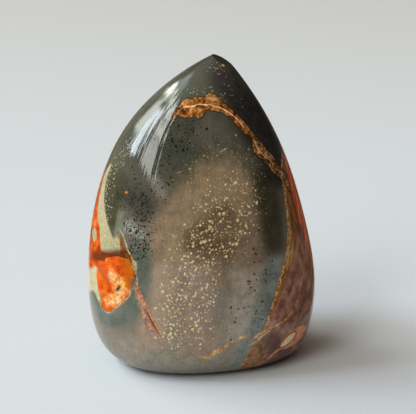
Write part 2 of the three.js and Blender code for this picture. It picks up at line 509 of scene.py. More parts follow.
FACE_GLOWS = {
    "sand": ([(-19.0, -36.8), (-13.0, -36.6), (-4.5, -36.8), (2.0, -35.2)], 7.5),
    "taupe_right": ([(9.6, -17.0), (9.6, -23.5), (9.0, -30.5)], 6.5),
    "tan_right": ([(7.6, 4.5), (9.2, -5.5), (10.0, -12.5)], 6.0),
    "olive_brown": ([(0.5, 18.5), (4.5, 16.5), (6.6, 12.0)], 6.5),
    "tan_upper": ([(3.4, 4.6), (2.4, 2.2), (-1.0, 0.0), (-5.0, -4.0), (-8.6, -8.2)], 10.6),
    "tan_lower": ([(-10.2, -17.6), (-11.8, -22.0), (-12.5, -27.0), (-14.0, -32.6)], 5.4),
    "brown_core": ([(3.6, -3.2), (0.8, -5.8), (-2.6, -8.4), (3.4, -10.0)], 6.0),
    "mauve_low": ([(-2.0, -15.2), (-3.0, -22.0), (-4.0, -29.5), (-2.0, -34.0)], 7.5),
    # The next two zones are the stone's dark colour on its right, made darker still as painted shade on the
    # side away from the window.
    "dark_top_with_painted_shade": ([(4.2, 31.8), (8.8, 25.5), (13.5, 16.8), (17.0, 8.8)], 6.2),
    "dark_right_with_painted_shade": ([(14.2, 7.2), (15.6, 0.5), (16.6, -8.8)], 5.4),
    "left_hollow": ([(-22.5, 4.6), (-19.0, 2.6), (-16.5, 0.0)], 5.5),
    "shoulder": ([(-6.5, 21.8), (-10.8, 17.2), (-14.5, 12.2)], 5.5),
    "olive": ([(-23.6, 7.0), (-24.2, 0.5), (-23.4, -2.6)], 5.0),
    "teal": ([(16.8, -14.0), (15.5, -19.5), (13.5, -27.0), (10.5, -34.5), (7.5, -38.8)], 3.8),
    "slate": ([
        (-28.8, -22.0), (-26.4, -27.4), (-21.4, -27.8), (-18.0, -23.2), (-16.8, -17.0), (-17.2, -10.0),
    ], 3.6),
    "rust_streaks": ([(19.6, 8.0), (20.9, 3.0), (21.8, -1.5), (22.4, -5.5)], 2.8),
    "gold_flare": ([(20.0, -7.0), (20.3, -10.5), (20.0, -14.0)], 2.4),
    "cream_dust": ([(6.0, 1.0), (2.0, -5.0), (-1.5, -11.0), (-4.5, -20.0), (-6.5, -29.0)], 9.5),
    "gold_dust": ([(4.0, 6.0), (4.5, -2.0), (3.0, -8.0), (0.0, -18.0), (-3.0, -30.0)], 14.0),
    "pepper_left": ([(-6.0, 21.0), (-9.5, 16.0), (-14.0, 6.0), (-17.0, 0.0), (-17.5, -6.0)], 7.5),
    "pepper_knot": ([(-20.5, 3.0), (-17.0, 0.0), (-16.6, -5.0), (-17.6, -11.0)], 3.8),
    "pepper_shoulder": ([(-9.4, 19.0), (-7.6, 15.8)], 4.0),
    "pepper_right": ([(14.5, -8.0), (12.5, -18.0), (9.0, -29.0)], 7.0),
    # Pale crystal grains, the brightest of them painted glints.
    "crystal_and_glint_haze": ([(-20.0, -4.8), (-18.4, -5.6), (-16.8, -6.6)], 2.7),
    # A painted reflection: the soft haze where the window's highlight ends.
    "painted_highlight_haze": ([(-13.2, 6.4), (-12.6, 4.8), (-11.8, 3.8)], 2.2),
    "prong_haze": ([(-22.6, -7.6), (-22.4, -4.6), (-21.8, -1.6)], 1.5),
    # Painted glints: tiny pits along the left edge that catch the window.
    "painted_edge_glints": ([(-25.6, -2.0), (-25.0, 5.5), (-22.6, 11.0), (-20.0, 15.0)], 3.0),
    "tip_dust": ([(2.0, 35.0), (4.5, 31.5), (8.5, 27.5)], 3.4),
    "vein_shade": ([(11.6, 17.0), (15.0, 12.5), (18.5, 8.5), (20.8, 4.0)], 3.4),
    "vein_dust": ([(-8.0, 22.4), (-5.0, 28.2), (0.0, 29.0), (4.0, 27.4)], 2.0),
    "pink_spots": ([(20.0, -15.5), (18.6, -21.0), (16.8, -26.0)], 2.4),
    "rust_shade": ([(-28.5, -12.2), (-27.2, -12.4), (-24.2, -12.1), (-21.5, -12.0)], 2.1),
    "rust_top": ([(-26.6, 5.0), (-27.2, 1.0)], 2.4),
    "brick_corner": ([(-26.6, -15.4), (-25.2, -17.6)], 2.4),
    "amber_side": ([(-20.6, -13.8), (-19.4, -16.4), (-19.8, -19.4)], 2.0),
    "orange_heart": ([(-23.4, -17.6), (-22.0, -19.6), (-22.0, -21.8), (-23.4, -23.0)], 2.9),
    "pale_corner": ([(-25.6, -23.2), (-25.0, -24.0)], 1.3),
    "dark_pit": ([(-22.7, -20.7), (-22.2, -20.0)], 0.7),
    "yellow_spot": ([(-21.3, -19.6), (-21.1, -19.0)], 0.6),
    "orange_dot": ([(-20.5, 3.7), (-20.4, 3.6)], 0.5),
    # A painted glint near the point, where the polish catches the window.
    "painted_tip_glint": ([(3.7, 35.5), (3.9, 35.4)], 0.4),
    "dark_foot": ([(16.0, -33.5), (19.0, -37.0), (15.0, -39.0)], 4.0),
}

# The maroon zone: its front edge on the shown face, then under the base and round the right side to the back,
# in degrees and mm of height.
MAROON_FRONT = [
    (18.2, 15.2), (18.2, 9.2), (18.8, 5.0), (19.4, -0.3), (19.9, -5.6), (19.7, -10.4), (18.6, -15.0),
    (17.0, -20.8), (14.8, -27.7), (12.1, -33.7), (9.7, -37.4), (7.5, -40.6),
]
MAROON_ROUND = [
    (-79, -8), (-45, -8), (0, -8), (45, -8), (80, -8), (110, -8), (112, 4), (106, 13), (92, 22), (76, 30),
    (58, 38), (38, 47), (18, 52), (-2, 55), (-18, 56),
]
# The ochre band along its edge has these widths in mm at these heights.
OCHRE_HEIGHTS = [0, 12, 17, 22, 27, 33, 38, 44, 50, 60]
OCHRE_WIDTHS = [0.4, 0.8, 1.3, 1.9, 2.4, 3.4, 3.0, 2.4, 1.2, 0.6]

# The rust zone beyond the cream strip, from the shown face round the left side, and the pale strip under it.
RUST_FRONT = [
    (-26.6, 5.5), (-26.8, 1.8), (-26.8, -1.8), (-26.5, -5.2), (-26.4, -8.2), (-26.0, -11.0), (-24.4, -11.6),
    (-22.2, -11.6), (-21.0, -13.4), (-24.0, -13.4), (-26.4, -14.2), (-27.6, -15.2), (-28.8, -15.2),
]
RUST_ROUND = [
    (174, 22), (166, 18), (157, 18), (149, 21), (147, 27), (141, 32), (143, 38), (150, 41), (152, 47),
    (160, 50), (168, 53), (176, 50),
]
PALE_FRONT = [
    (-28.7, -15.1), (-27.8, -15.2), (-27.7, -17.7), (-27.3, -20.8), (-26.9, -23.6), (-27.3, -23.6),
    (-28.6, -21.0),
]
PALE_ROUND = [
    (175, 18), (165, 14), (154, 11), (144, 11), (136, 14), (146, 15), (156, 16), (164, 19), (174, 24),
]

# Marks of the sides and the back, in degrees and mm of height.
SIDE_PATCHES = {
    "back_patch": [
        (140, 20), (136, 25), (130, 25), (125, 29), (118, 27), (114, 21), (117, 16), (119, 10), (126, 11),
        (131, 7), (138, 12),
    ],
    "back_vein": [
        (170, 62), (160, 59.5), (152, 59.5), (146, 56), (139, 55.5), (133, 51.5), (126, 50.5), (120, 46.5),
        (113, 45.5), (107, 41), (101, 40.5), (95, 36), (90, 33.5), (85, 27), (89, 29.5), (94, 32), (99, 34.5),
        (105, 35.5), (110, 39.5), (117, 39.5), (123, 44), (130, 44.5), (136, 49), (143, 50), (150, 54.5),
        (159, 56.5),
    ],
}
SIDE_LINES = {
    "ember_rim": [
        (-19, 53, 0.4), (-19, 49, 2.4), (-19, 45, 3.3), (-19, 40, 3.5), (-18, 35, 3.0), (-18, 30, 2.0),
        (-18, 25, 0.9), (-19, 22, 0.0),
    ],
    "tan_rim": [
        (-17, 38, 0.0), (-20, 33, 1.6), (-22, 28, 2.8), (-22, 23, 2.6), (-20, 18, 1.2), (-18, 14, 0.0),
    ],
    "back_gold": [
        (160, 58, 0.0), (148, 55, 0.16), (140, 52.5, 0.2), (130, 48.5, 0.12), (121, 45, 0.2),
        (112, 41.5, 0.13), (104, 38.5, 0.2), (96, 34.5, 0.12), (89, 31, 0.0),
    ],
    "side_fold": [(-4, 8, 0.0), (6, 16, 0.35), (14, 25, 0.5), (30, 33, 0.4), (48, 37, 0.3), (62, 35, 0.0)],
    "base_fold": [(10, 3, 0.0), (28, 9, 0.6), (46, 12, 0.9), (66, 10, 0.7), (88, 5, 0.4), (100, 1, 0.0)],
}
SIDE_GLOWS = {
    # The stone's dark top round the right side and the back, darkened further as painted shade away from the
    # window.
    "dark_side_with_painted_shade": ([(-20, 62), (0, 60), (30, 60), (60, 66), (90, 72)], 14.0),
    "back_heart": ([(152, 42), (138, 38), (128, 30), (134, 22)], 9.0),
    "rust_core": ([(160, 42), (152, 34), (160, 27)], 8.0),
    "back_dust": ([(144, 38), (132, 30), (134, 22)], 8.0),
    "back_pepper": ([(160, 66), (130, 60), (100, 56), (70, 56)], 9.0),
}
# Eyes of the maroon zone on the right and the back: angle, height, radius, and lean, the rise for each mm
# sideways. An eye is longer than it is high by the factor of its flatness.
EYE_FLATNESS = 1.5
SIDE_EYES = {
    "side_eye": (22, 21, 3.4, 0.5),
    "back_eye": (56, 24, 4.6, -0.4),
    "small_eye": (80, 14, 2.4, 0.8),
}


def lay_out_marks(surface):
    """Every mark of the stone as an attribute of its mesh."""
    face = (surface.on_face, FACE_PATCHES, FACE_LINES, FACE_GLOWS)
    side = (surface.on_side, SIDE_PATCHES, SIDE_LINES, SIDE_GLOWS)
    for place, patches, lines, glows in (face, side):
        for name, spots in patches.items():
            surface.patch(name, place(spots))
        for name, spots in lines.items():
            surface.line(name, place([spot[:2] for spot in spots]), [spot[2] for spot in spots])
        for name, (spots, reach) in glows.items():
            surface.glow(name, place(spots), reach)

    def outline(front, rounding):
        return np.vstack([surface.on_face(front), surface.on_side(rounding)])

    depth = surface.patch("maroon_zone", outline(MAROON_FRONT, MAROON_ROUND))
    width = np.interp(surface.points[:, 2], OCHRE_HEIGHTS, OCHRE_WIDTHS)
    surface.keep("ochre_band", np.minimum(width - depth, depth))
    surface.patch("rust_zone", outline(RUST_FRONT, RUST_ROUND))
    surface.patch("pale_strip", outline(PALE_FRONT, PALE_ROUND))

    for name, (angle, height, radius, lean) in SIDE_EYES.items():
        middle = surface.on_side([(angle, height)])[0]
        gap = surface.points - middle
        outwards = middle[:2] / np.linalg.norm(middle[:2])
        sideways = gap[:, 0] * -outwards[1] + gap[:, 1] * outwards[0]
        upwards = gap[:, 2] - lean * sideways
        inwards = gap[:, 0] * outwards[0] + gap[:, 1] * outwards[1]
        distance = np.sqrt(sideways**2 + (EYE_FLATNESS * upwards) ** 2 + inwards**2)
        surface.keep(name, radius - distance)


# The stone's patterns: their sizes in mm, and how they work on the colours.
CLOUD_MM = 9.0
BLOTCH_MM = 2.4
GRAIN_MM = 0.7
FINE_GRAIN_MM = 0.45
FINE_GRAIN_SHADES = {"To Min": 0.55, "To Max": 1.29}  # what it multiplies a colour by
STREAK_MM = 10 / 9  # how wide the streaks of the maroon zone are, which run along its edge
FINE_STREAK_MM = 1 / 3
STREAK_BLOTCHES = 0.55  # how much of the streaks the blotches take over
STREAK_DRIFT = 0.09  # how fast a streak changes along its way, as a share of how fast it does across it
STREAK_BEND_MM = 3.0  # how far the clouds bend the streaks, from end to end
CRUMBLY_EDGE_MM = 0.8  # the width of the maroon zone's crumbly outer edge

# The wheel's marks: faint flats that run up the stone and fade towards its point.
FLAT_MM = 4.0
FLAT_DEPTH_MM = 0.2
FLAT_DRIFT = 0.1  # how fast a flat changes on its way up, as a share of how fast it does round the stone
FLAT_FADE = {"From Min": 62.0, "From Max": 77.0, "To Min": 1.0, "To Max": 0.15}

# The roughness of the polish and of the ground base, which ends between these heights in mm.
POLISH = {"To Min": 0.04, "To Max": 0.11}
BASE_FADE = {"From Min": 0.05, "From Max": 0.3, "To Min": 0.5, "To Max": 0.0}
QUARTZ_IOR = 1.54

# The stone's grey ground from the base, at 0, to its top, at 1. Clouds shift its tones up or down by up to
# half of the shift. The zones melt into it, each in its darkest and lightest colour, later over earlier ones.
GROUND_TOP_MM = 80.0
GROUND_SHIFT_MM = 18.0
GROUND_BY_HEIGHT = {
    0.0: "857A6D", 0.2: "7C7162", 0.33: "766959", 0.45: "70655A", 0.55: "645D4F", 0.63: "565244",
    0.73: "44453A", 0.9: "4C5043",
}
GROUND_ZONES = {
    "sand": ("887C6D", "9E9280"),
    "taupe_right": ("95897B", "ADA190"),
    "tan_right": ("7A6352", "8C7562"),
    "olive_brown": ("534E42", "635C4F"),
    "tan_upper": ("8C765E", "A48A6E"),
    "tan_lower": ("98806B", "AE947C"),
    "mauve_low": ("8B7361", "A38977"),
    "brown_core": ("5E4634", "7E624E"),
    "left_hollow": ("3A3930", "4A483F"),
    "shoulder": ("3C3C32", "4A493E"),
    "olive": ("34321F", "48452F"),
    "slate": ("565D52", "686B60"),
    "teal": ("6A6F67", "868B80"),
    "back_heart": ("80705E", "A08C74"),
    # The last three zones are the stone's dark colour, darkened further as painted shade on the side away
    # from the window.
    "dark_side_with_painted_shade": ("24201C", "34302A"),
    "dark_right_with_painted_shade": ("332F22", "453F2F"),
    "dark_top_with_painted_shade": ("242220", "34322E"),
}
# The gold folds: how far the edge of each is frayed, and how soft it is where that isn't the usual.
FOLDS = {
    "lower_vein": (0.45,),
    "fold_strand": (0.2,),
    "gold_fold": (0.2,),
    "side_fold": (0.25,),
    "base_fold": (0.4, 0.2),
}
# The scratches: one colour each.
SCRATCHES = {"scratch": "C8BCA0", "low_scratch": "A89C84", "tip_scratches": "B0AC9C"}
# Separate grains: their zone, how many of the cells have one, the cells' size and the smallest and largest
# radius in mm, and their colour.
# The pale colour makes the dust near the point, and the painted glints along the left edge.
PEPPER, OLIVE, BRASS, GOLD, DUST_AND_GLINTS, CREAM = "22221A", "3A3822", "8E805A", "A8965E", "B4B6A4", "EBD29C"
SPECKS = [
    ("pepper_left", 0.7, 1.1, 0.12, 0.34, PEPPER),
    ("pepper_left", 0.7, 0.5, 0.06, 0.2, PEPPER),
    ("pepper_knot", 0.9, 0.75, 0.12, 0.34, PEPPER),
    ("pepper_knot", 0.9, 0.42, 0.06, 0.18, PEPPER),
    ("pepper_shoulder", 0.9, 0.9, 0.14, 0.36, PEPPER),
    ("pepper_right", 0.7, 1.0, 0.1, 0.34, OLIVE),
    ("back_pepper", 0.6, 1.1, 0.12, 0.36, PEPPER),
    # Painted glints on tiny pits along the left edge.
    ("painted_edge_glints", 0.9, 0.45, 0.05, 0.17, DUST_AND_GLINTS),
    ("tip_dust", 0.6, 0.6, 0.04, 0.13, DUST_AND_GLINTS),
    ("gold_dust", 0.9, 0.42, 0.05, 0.14, BRASS),
    ("gold_dust", 0.9, 0.75, 0.08, 0.24, GOLD),
    ("back_dust", 0.6, 0.8, 0.06, 0.24, GOLD),
    ("cream_dust", 0.95, 0.62, 0.06, 0.2, CREAM),
    ("cream_dust", 1.0, 1.15, 0.12, 0.38, CREAM),
    ("cream_dust", 0.6, 1.7, 0.2, 0.44, CREAM),
    ("back_dust", 0.9, 1.2, 0.12, 0.4, CREAM),
]
# A smooth range holds its two ends by itself, so it is left unclamped, which spares the renderer a step.
SMOOTH = {"interpolation_type": "SMOOTHSTEP", "clamp": False}


class Paint:
    """The stone's colour as it builds up in layers, and the cloudy patterns that all of its marks share.

    Coordinates are in mm. A mask tells how much of a mark shows at each place, from 0 to 1. Each layer is
    mixed in before the next is made, because the renderer can hold only a limited number of loose ones."""

    BLOTCH_PUSH = 3.0  # how far the blotches push an edge, from end to end, as a multiple of its fray
    GRAIN_PUSH = 1.4  # the same for the grain
    VEIL_FULL = 0.75  # how far into a soft zone it starts to show in full
    SPECKS_FULL = 0.7  # how far into their zone the grains start to lie as close as they get
    SPECK_BULGE = 0.8  # how uneven a grain's radius is, as a share of its cell
    SPECK_EDGE = {"From Min": -0.03, "From Max": 0.05}

    def __init__(self, tree, colour):
        self.tree, self.colour = tree, colour
        position = add(tree, "TexCoord", output="Object")
        self.where = add(tree, "Mapping", {"Vector": position, "Scale": (1 / MM,) * 3})
        self.height = add(tree, "Attribute", output="Fac", attribute_name="height")
        cloudy = {"Vector": self.where, "Roughness": 0.55}
        self.cloud = add(tree, "TexNoise", {**cloudy, "Scale": 1 / CLOUD_MM, "Detail": 3.0})
        self.blotch = add(tree, "TexNoise", {**cloudy, "Scale": 1 / BLOTCH_MM, "Detail": 5.0})
        self.grain = add(tree, "TexNoise", {**cloudy, "Scale": 1 / GRAIN_MM, "Detail": 3.0})

    def cover(self, mask, pigment, within=None):
        """Lays a pigment over the colour so far, as much as the mask says, and a second mask if there is one.

        A pigment is one hex colour, or a pattern with the colours that it runs through from 0 to 1."""
        tree = self.tree
        if within is not None:
            mask = add(tree, "Math", {0: within, 1: mask}, operation="MULTIPLY")
        if isinstance(pigment, str):
            pigment = linear(pigment)
        else:
            pattern, stops = pigment
            pigment = add(tree, "ValToRGB", {0: pattern}, stops=stops)
        layers = {0: mask, 6: self.colour, 7: pigment}
        self.colour = add(tree, "Mix", layers, output=2, data_type="RGBA")

    def inside(self, depth, fray=0.3, soft=0.12, grow=0.0):
        """A mask for where a depth in mm, or the attribute of that name, is above 0, or grown past that.

        Blotches and grain fray the edge. Both are 0.5 in the mean, so half of their push is taken off."""
        tree = self.tree
        if isinstance(depth, str):
            depth = add(tree, "Attribute", output="Fac", attribute_name=depth)
        offset = grow - (self.BLOTCH_PUSH + self.GRAIN_PUSH) / 2 * fray
        bent = add(tree, "Math", {0: depth, 1: offset}, operation="ADD")
        for pattern, push in ((self.blotch, self.BLOTCH_PUSH), (self.grain, self.GRAIN_PUSH)):
            bent = add(tree, "Math", {0: pattern, 1: push * fray, 2: bent}, operation="MULTIPLY_ADD")
        return add(tree, "MapRange", {"Value": bent, "From Min": -soft, "From Max": soft}, **SMOOTH)

    def along(self, name, fray=0.15, soft=0.1):
        """A mask for a line: where the distance across it is less than its half width."""
        tree = self.tree
        across = add(tree, "SeparateColor", {0: add(tree, "Attribute", attribute_name=name)})
        half_width = across.node.outputs["Green"]
        across = add(tree, "Math", {0: across}, operation="ABSOLUTE")
        depth = add(tree, "Math", {0: half_width, 1: across}, operation="SUBTRACT")
        return self.inside(depth, fray, soft)

    def veil(self, name, most=1.0, cloudiness=0.5):
        """A mask for a soft zone, up to the most of it.

        Clouds and half as strong blotches make it uneven. Half of their push is taken off here too."""
        tree = self.tree
        near = add(tree, "Attribute", output="Fac", attribute_name=name)
        offset = -(cloudiness + cloudiness / 2) / 2
        bent = add(tree, "Math", {0: near, 1: offset}, operation="ADD")
        for pattern, push in ((self.cloud, cloudiness), (self.blotch, cloudiness / 2)):
            bent = add(tree, "Math", {0: pattern, 1: push, 2: bent}, operation="MULTIPLY_ADD")
        return add(tree, "MapRange", {"Value": bent, "From Max": self.VEIL_FULL, "To Max": most}, **SMOOTH)

    def specks(self, zone, most, size, smallest, largest):
        """A mask for separate grains: one to a cell of this size in mm, of radii from smallest to largest.

        The most of the cells have one at the middle of the zone, and none past its reach."""
        tree = self.tree
        near = add(tree, "Attribute", output="Fac", attribute_name=zone)
        share = {"Value": near, "From Max": self.SPECKS_FULL, "To Max": most}
        density = add(tree, "MapRange", share, **SMOOTH)
        distance = add(tree, "TexVoronoi", {"Vector": self.where, "Scale": 1 / size})
        lots = add(tree, "SeparateColor", {0: distance.node.outputs["Color"]})
        kept = add(tree, "Math", {0: lots, 1: density}, operation="LESS_THAN")
        least = smallest / size - self.SPECK_BULGE / 2
        radius = {0: lots.node.outputs["Green"], 1: (largest - smallest) / size, 2: least}
        radius = add(tree, "Math", radius, operation="MULTIPLY_ADD")
        radius = add(tree, "Math", {0: self.grain, 1: self.SPECK_BULGE, 2: radius}, operation="MULTIPLY_ADD")
        rim = add(tree, "Math", {0: radius, 1: distance}, operation="SUBTRACT")
        disc = add(tree, "MapRange", {"Value": rim, **self.SPECK_EDGE}, **SMOOTH)
        return add(tree, "Math", {0: kept, 1: disc}, operation="MULTIPLY")


def ground(paint):
    """The stone's grey ground, from the dark point down to the sandy foot, with its dust and pepper.

    It also holds painted light: shade on the dark right side, glints along the left edge and among the
    crystals, and the haze where the window's highlight ends.
    """
    tree = paint.tree
    level = {0: paint.cloud, 1: GROUND_SHIFT_MM, 2: paint.height}
    level = add(tree, "Math", level, operation="MULTIPLY_ADD")
    level = {"Value": level, "From Min": GROUND_SHIFT_MM / 2, "From Max": GROUND_TOP_MM + GROUND_SHIFT_MM / 2}
    level = add(tree, "MapRange", level, clamp=False)
    paint.cover(1.0, (level, GROUND_BY_HEIGHT))
    for zone, (darkest, lightest) in GROUND_ZONES.items():
        paint.cover(paint.veil(zone), (paint.blotch, {0.35: darkest, 0.65: lightest}))

    # Pale crystal grains, whose brightest streaks are painted glints.
    crystals_and_glints = (paint.grain, {0.43: "5A5C52", 0.5: "C4C8B8", 0.57: "6C6E62"})
    paint.cover(paint.veil("crystal_and_glint_haze", 0.8, 0.8), crystals_and_glints)
    # A painted reflection: the soft haze where the window's highlight ends.
    paint.cover(paint.veil("painted_highlight_haze", 0.5, 0.6), "928A80")
    paint.cover(paint.veil("prong_haze", 0.35, 0.3), "9A9F8C")
    for zone, most, size, smallest, largest, pigment in SPECKS:
        paint.cover(paint.specks(zone, most, size, smallest, largest), pigment)


def maroon(paint):
    """The maroon zone with its streaks, the ochre band along its edge and the ember streak down its side."""
    tree = paint.tree
    depth = add(tree, "Attribute", output="Fac", attribute_name="maroon_zone")
    across = add(tree, "Math", {0: paint.cloud, 1: STREAK_BEND_MM, 2: depth}, operation="MULTIPLY_ADD")
    slow = add(tree, "Mapping", {"Vector": paint.where, "Scale": (STREAK_DRIFT,) * 3})
    slow = {"Vector": slow, "W": across}
    streaks = {**slow, "Scale": 1 / STREAK_MM, "Detail": 4.0}
    streaks = add(tree, "TexNoise", streaks, noise_dimensions="4D")
    fine = {**slow, "Scale": 1 / FINE_STREAK_MM, "Detail": 2.0}
    fine = add(tree, "TexNoise", fine, noise_dimensions="4D")
    mottled = {0: STREAK_BLOTCHES, 2: streaks, 3: paint.blotch}
    mottled = add(tree, "Mix", mottled, data_type="FLOAT")
    zone = paint.inside(depth, 0.2)
    paint.cover(zone, (mottled, {0.36: "643E31", 0.46: "8A5C4A", 0.54: "A57660", 0.64: "BE8E74"}))
    paint.cover(paint.veil("dark_foot", 0.8), "4C2414", within=zone)
    rusty = (fine, {0.36: "3C1E10", 0.5: "74401E", 0.64: "A45E30"})
    paint.cover(paint.veil("rust_streaks", 0.9), rusty, within=zone)

    band = paint.inside("ochre_band", 0.35, 0.25)
    paint.cover(band, (fine, {0.32: "4A2612", 0.46: "7E4C22", 0.56: "A0662E", 0.68: "C48C4E"}))
    golden = (fine, {0.36: "8A5C2C", 0.5: "B88C52", 0.64: "D8B078"})
    paint.cover(paint.veil("gold_flare", 0.8), golden, within=band)
    tan = (streaks, {0.35: "7A4A30", 0.5: "96623E", 0.65: "B07E54"})
    paint.cover(paint.along("tan_rim", 0.8, 0.9), tan)
    ember = (streaks, {0.35: "B83C10", 0.5: "E65C1E", 0.65: "FC8840"})
    paint.cover(paint.along("ember_rim", 0.6, 0.5), ember)
    paint.cover(paint.along("red_thread", 0.1, 0.15), "B0503A")
    paint.cover(paint.along("maroon_thread", 0.1), "E8A070")
    paint.cover(paint.specks("pink_spots", 0.5, 0.9, 0.12, 0.34), "BC6650")
    edge = add(tree, "Math", {0: CRUMBLY_EDGE_MM, 1: depth}, operation="SUBTRACT")
    crumbs = (paint.grain, {0.4: "7E5636", 0.5: "AC7E50", 0.6: "D2A676"})
    paint.cover(paint.inside(edge, 0.35), crumbs, within=zone)


def eyes(paint):
    """Eyes of cream jasper, each in a flesh-coloured halo with a thin dark line between."""
    flesh = (paint.blotch, {0.35: "CB6C40", 0.6: "F29A6A"})
    cream = (paint.grain, {0.3: "F2C488", 0.6: "FFE0AE"})
    dark = "4A2418"
    paint.cover(paint.inside("eye_flesh", 0.12), flesh)
    paint.cover(paint.inside("eye_core", 0.05, 0.1, grow=0.3), dark)
    paint.cover(paint.inside("eye_core", 0.06, 0.1), cream)
    paint.cover(paint.along("eye_tail", 0.3), flesh)
    for name in SIDE_EYES:
        paint.cover(paint.inside(name, 0.35, 0.15), flesh)
        paint.cover(paint.inside(name, 0.25, 0.1, grow=-1.2), dark)
        paint.cover(paint.inside(name, 0.25, 0.1, grow=-1.5), cream)


def veins(paint):
    """Caramel veins in a dark selvage with a thread of gold, and the gold folds of the lower right."""
    grain = paint.grain
    crumbly = add(paint.tree, "Mix", {0: 0.5, 2: paint.blotch, 3: grain}, data_type="FLOAT")
    caramel = (crumbly, {0.4: "3E200C", 0.45: "74400F", 0.51: "A05E20", 0.57: "BE7A3C", 0.63: "DCA468"})
    gold = (grain, {0.35: "D0905A", 0.6: "FFD29C"})
    rough_gold = (crumbly, {0.4: "9A5C34", 0.5: "C88E54", 0.6: "F0C488"})
    selvage = "2A2018"
    olive = (crumbly, {0.4: "5C3E16", 0.5: "8C6430", 0.6: "B5764E"})
    paint.cover(paint.inside("olive_foot", 0.3, 0.15), olive)
    for name, edge in FOLDS.items():
        paint.cover(paint.along(name, *edge), rough_gold)
    paint.cover(paint.inside("back_vein", 0.6, 0.2, grow=0.25), selvage)
    paint.cover(paint.inside("back_vein", 0.55), caramel)
    paint.cover(paint.along("back_gold", 0.12, 0.08), gold)
    paint.cover(paint.inside("caramel_vein", 0.45, 0.2, grow=0.25), selvage)
    vein = paint.inside("caramel_vein", 0.4)
    paint.cover(vein, caramel)
    shaded = (crumbly, {0.42: "2E1C0E", 0.48: "5E3C1E", 0.54: "86603A", 0.6: "BC9668"})
    paint.cover(paint.veil("vein_shade", 0.9), shaded, within=vein)
    paint.cover(paint.specks("vein_dust", 0.6, 0.5, 0.06, 0.18), "9A9880")
    paint.cover(paint.along("vein_braid", 0.35), "D2A078")
    paint.cover(paint.along("vein_gold", 0.1, 0.07), gold)
    for name, pigment in SCRATCHES.items():
        paint.cover(paint.along(name, 0.0, 0.06), pigment)
    # A painted glint near the point, where the polish catches the window.
    paint.cover(paint.veil("painted_tip_glint", 1.0, 0.0), "E0B070")
    paint.cover(paint.veil("orange_dot", 1.0, 0.3), "C87A30")


def rust(paint):
    """The left side: cream and rust patches round an orange heart, and a wedge of rust down from it."""
    blotch, grain = paint.blotch, paint.grain
    crumbly = add(paint.tree, "Mix", {0: 0.6, 2: blotch, 3: grain}, data_type="FLOAT")
    cream = (crumbly, {0.35: "A29671", 0.6: "B8AC88"})
    orange = (blotch, {0.34: "B83C08", 0.46: "D85410", 0.58: "E66C22", 0.7: "EE8A44"})
    heart = (crumbly, {0.42: "E07A2C", 0.5: "F0AC5E", 0.57: "F2CE98", 0.64: "F8E4C0"})
    border = (grain, {0.4: "86886A", 0.6: "BDB894"})
    paint.cover(paint.inside("rust_zone", 0.35, grow=0.35), border)
    rusty = (blotch, {0.36: "8A2E0C", 0.46: "C24A12", 0.56: "DA601C", 0.68: "E88442"})
    paint.cover(paint.inside("rust_zone", 0.35), rusty)
    core = (crumbly, {0.42: "5A2416", 0.5: "8C3A1C", 0.58: "B0562C"})
    paint.cover(paint.veil("rust_core", 0.75, 0.9), core)
    paint.cover(paint.specks("rust_core", 0.8, 2.6, 0.3, 0.9), heart)
    paint.cover(paint.veil("rust_top", 0.8, 0.4), "8A5A48")
    paint.cover(paint.inside("side_blob", 0.1), cream)
    paint.cover(paint.inside("cream_strip", 0.15, 0.3), cream)
    paint.cover(paint.inside("pale_strip", 0.15, 0.6), (crumbly, {0.35: "B2A884", 0.6: "CCC2A0"}))
    brown = (crumbly, {0.4: "6A3008", 0.5: "8E4C12", 0.6: "B06E24"})
    paint.cover(paint.inside("rust_sliver", 0.15), brown)
    paint.cover(paint.veil("rust_shade", 0.9, 0.4), "5C2A18")
    paint.cover(paint.along("pale_border", 0.12), border)
    patch = paint.inside("orange_patch", 0.3)
    paint.cover(patch, orange)
    paint.cover(paint.veil("brick_corner", 0.7, 0.4), "B84E2A", within=patch)
    paint.cover(paint.veil("amber_side", 0.7, 0.4), "B4600E", within=patch)
    paint.cover(paint.along("patch_rim", 0.15), border)
    paint.cover(paint.veil("orange_heart", 0.85, 0.9), heart)
    paint.cover(paint.veil("pale_corner", 0.7, 0.6), heart)
    paint.cover(paint.veil("dark_pit", 1.0, 0.4), "3A4038")
    paint.cover(paint.veil("yellow_spot", 1.0, 0.3), "F5C21A")
    paint.cover(paint.inside("cream_blob", 0.12), border)
    wedge = (crumbly, {0.4: "84644E", 0.5: "A67A5C", 0.58: "C68E6C", 0.66: "E8AC86"})
    paint.cover(paint.inside("rust_wedge", 0.7, 0.4), wedge)
    paint.cover(paint.along("wedge_edge", 0.1), (grain, {0.4: "C0481A", 0.6: "F09A54"}))
    paint.cover(paint.along("wedge_seam", 0.05, 0.08), "4A1E12")
    paint.cover(paint.inside("back_patch", 0.9, 0.15, grow=0.5), border)
    paint.cover(paint.inside("back_patch", 0.9), orange)


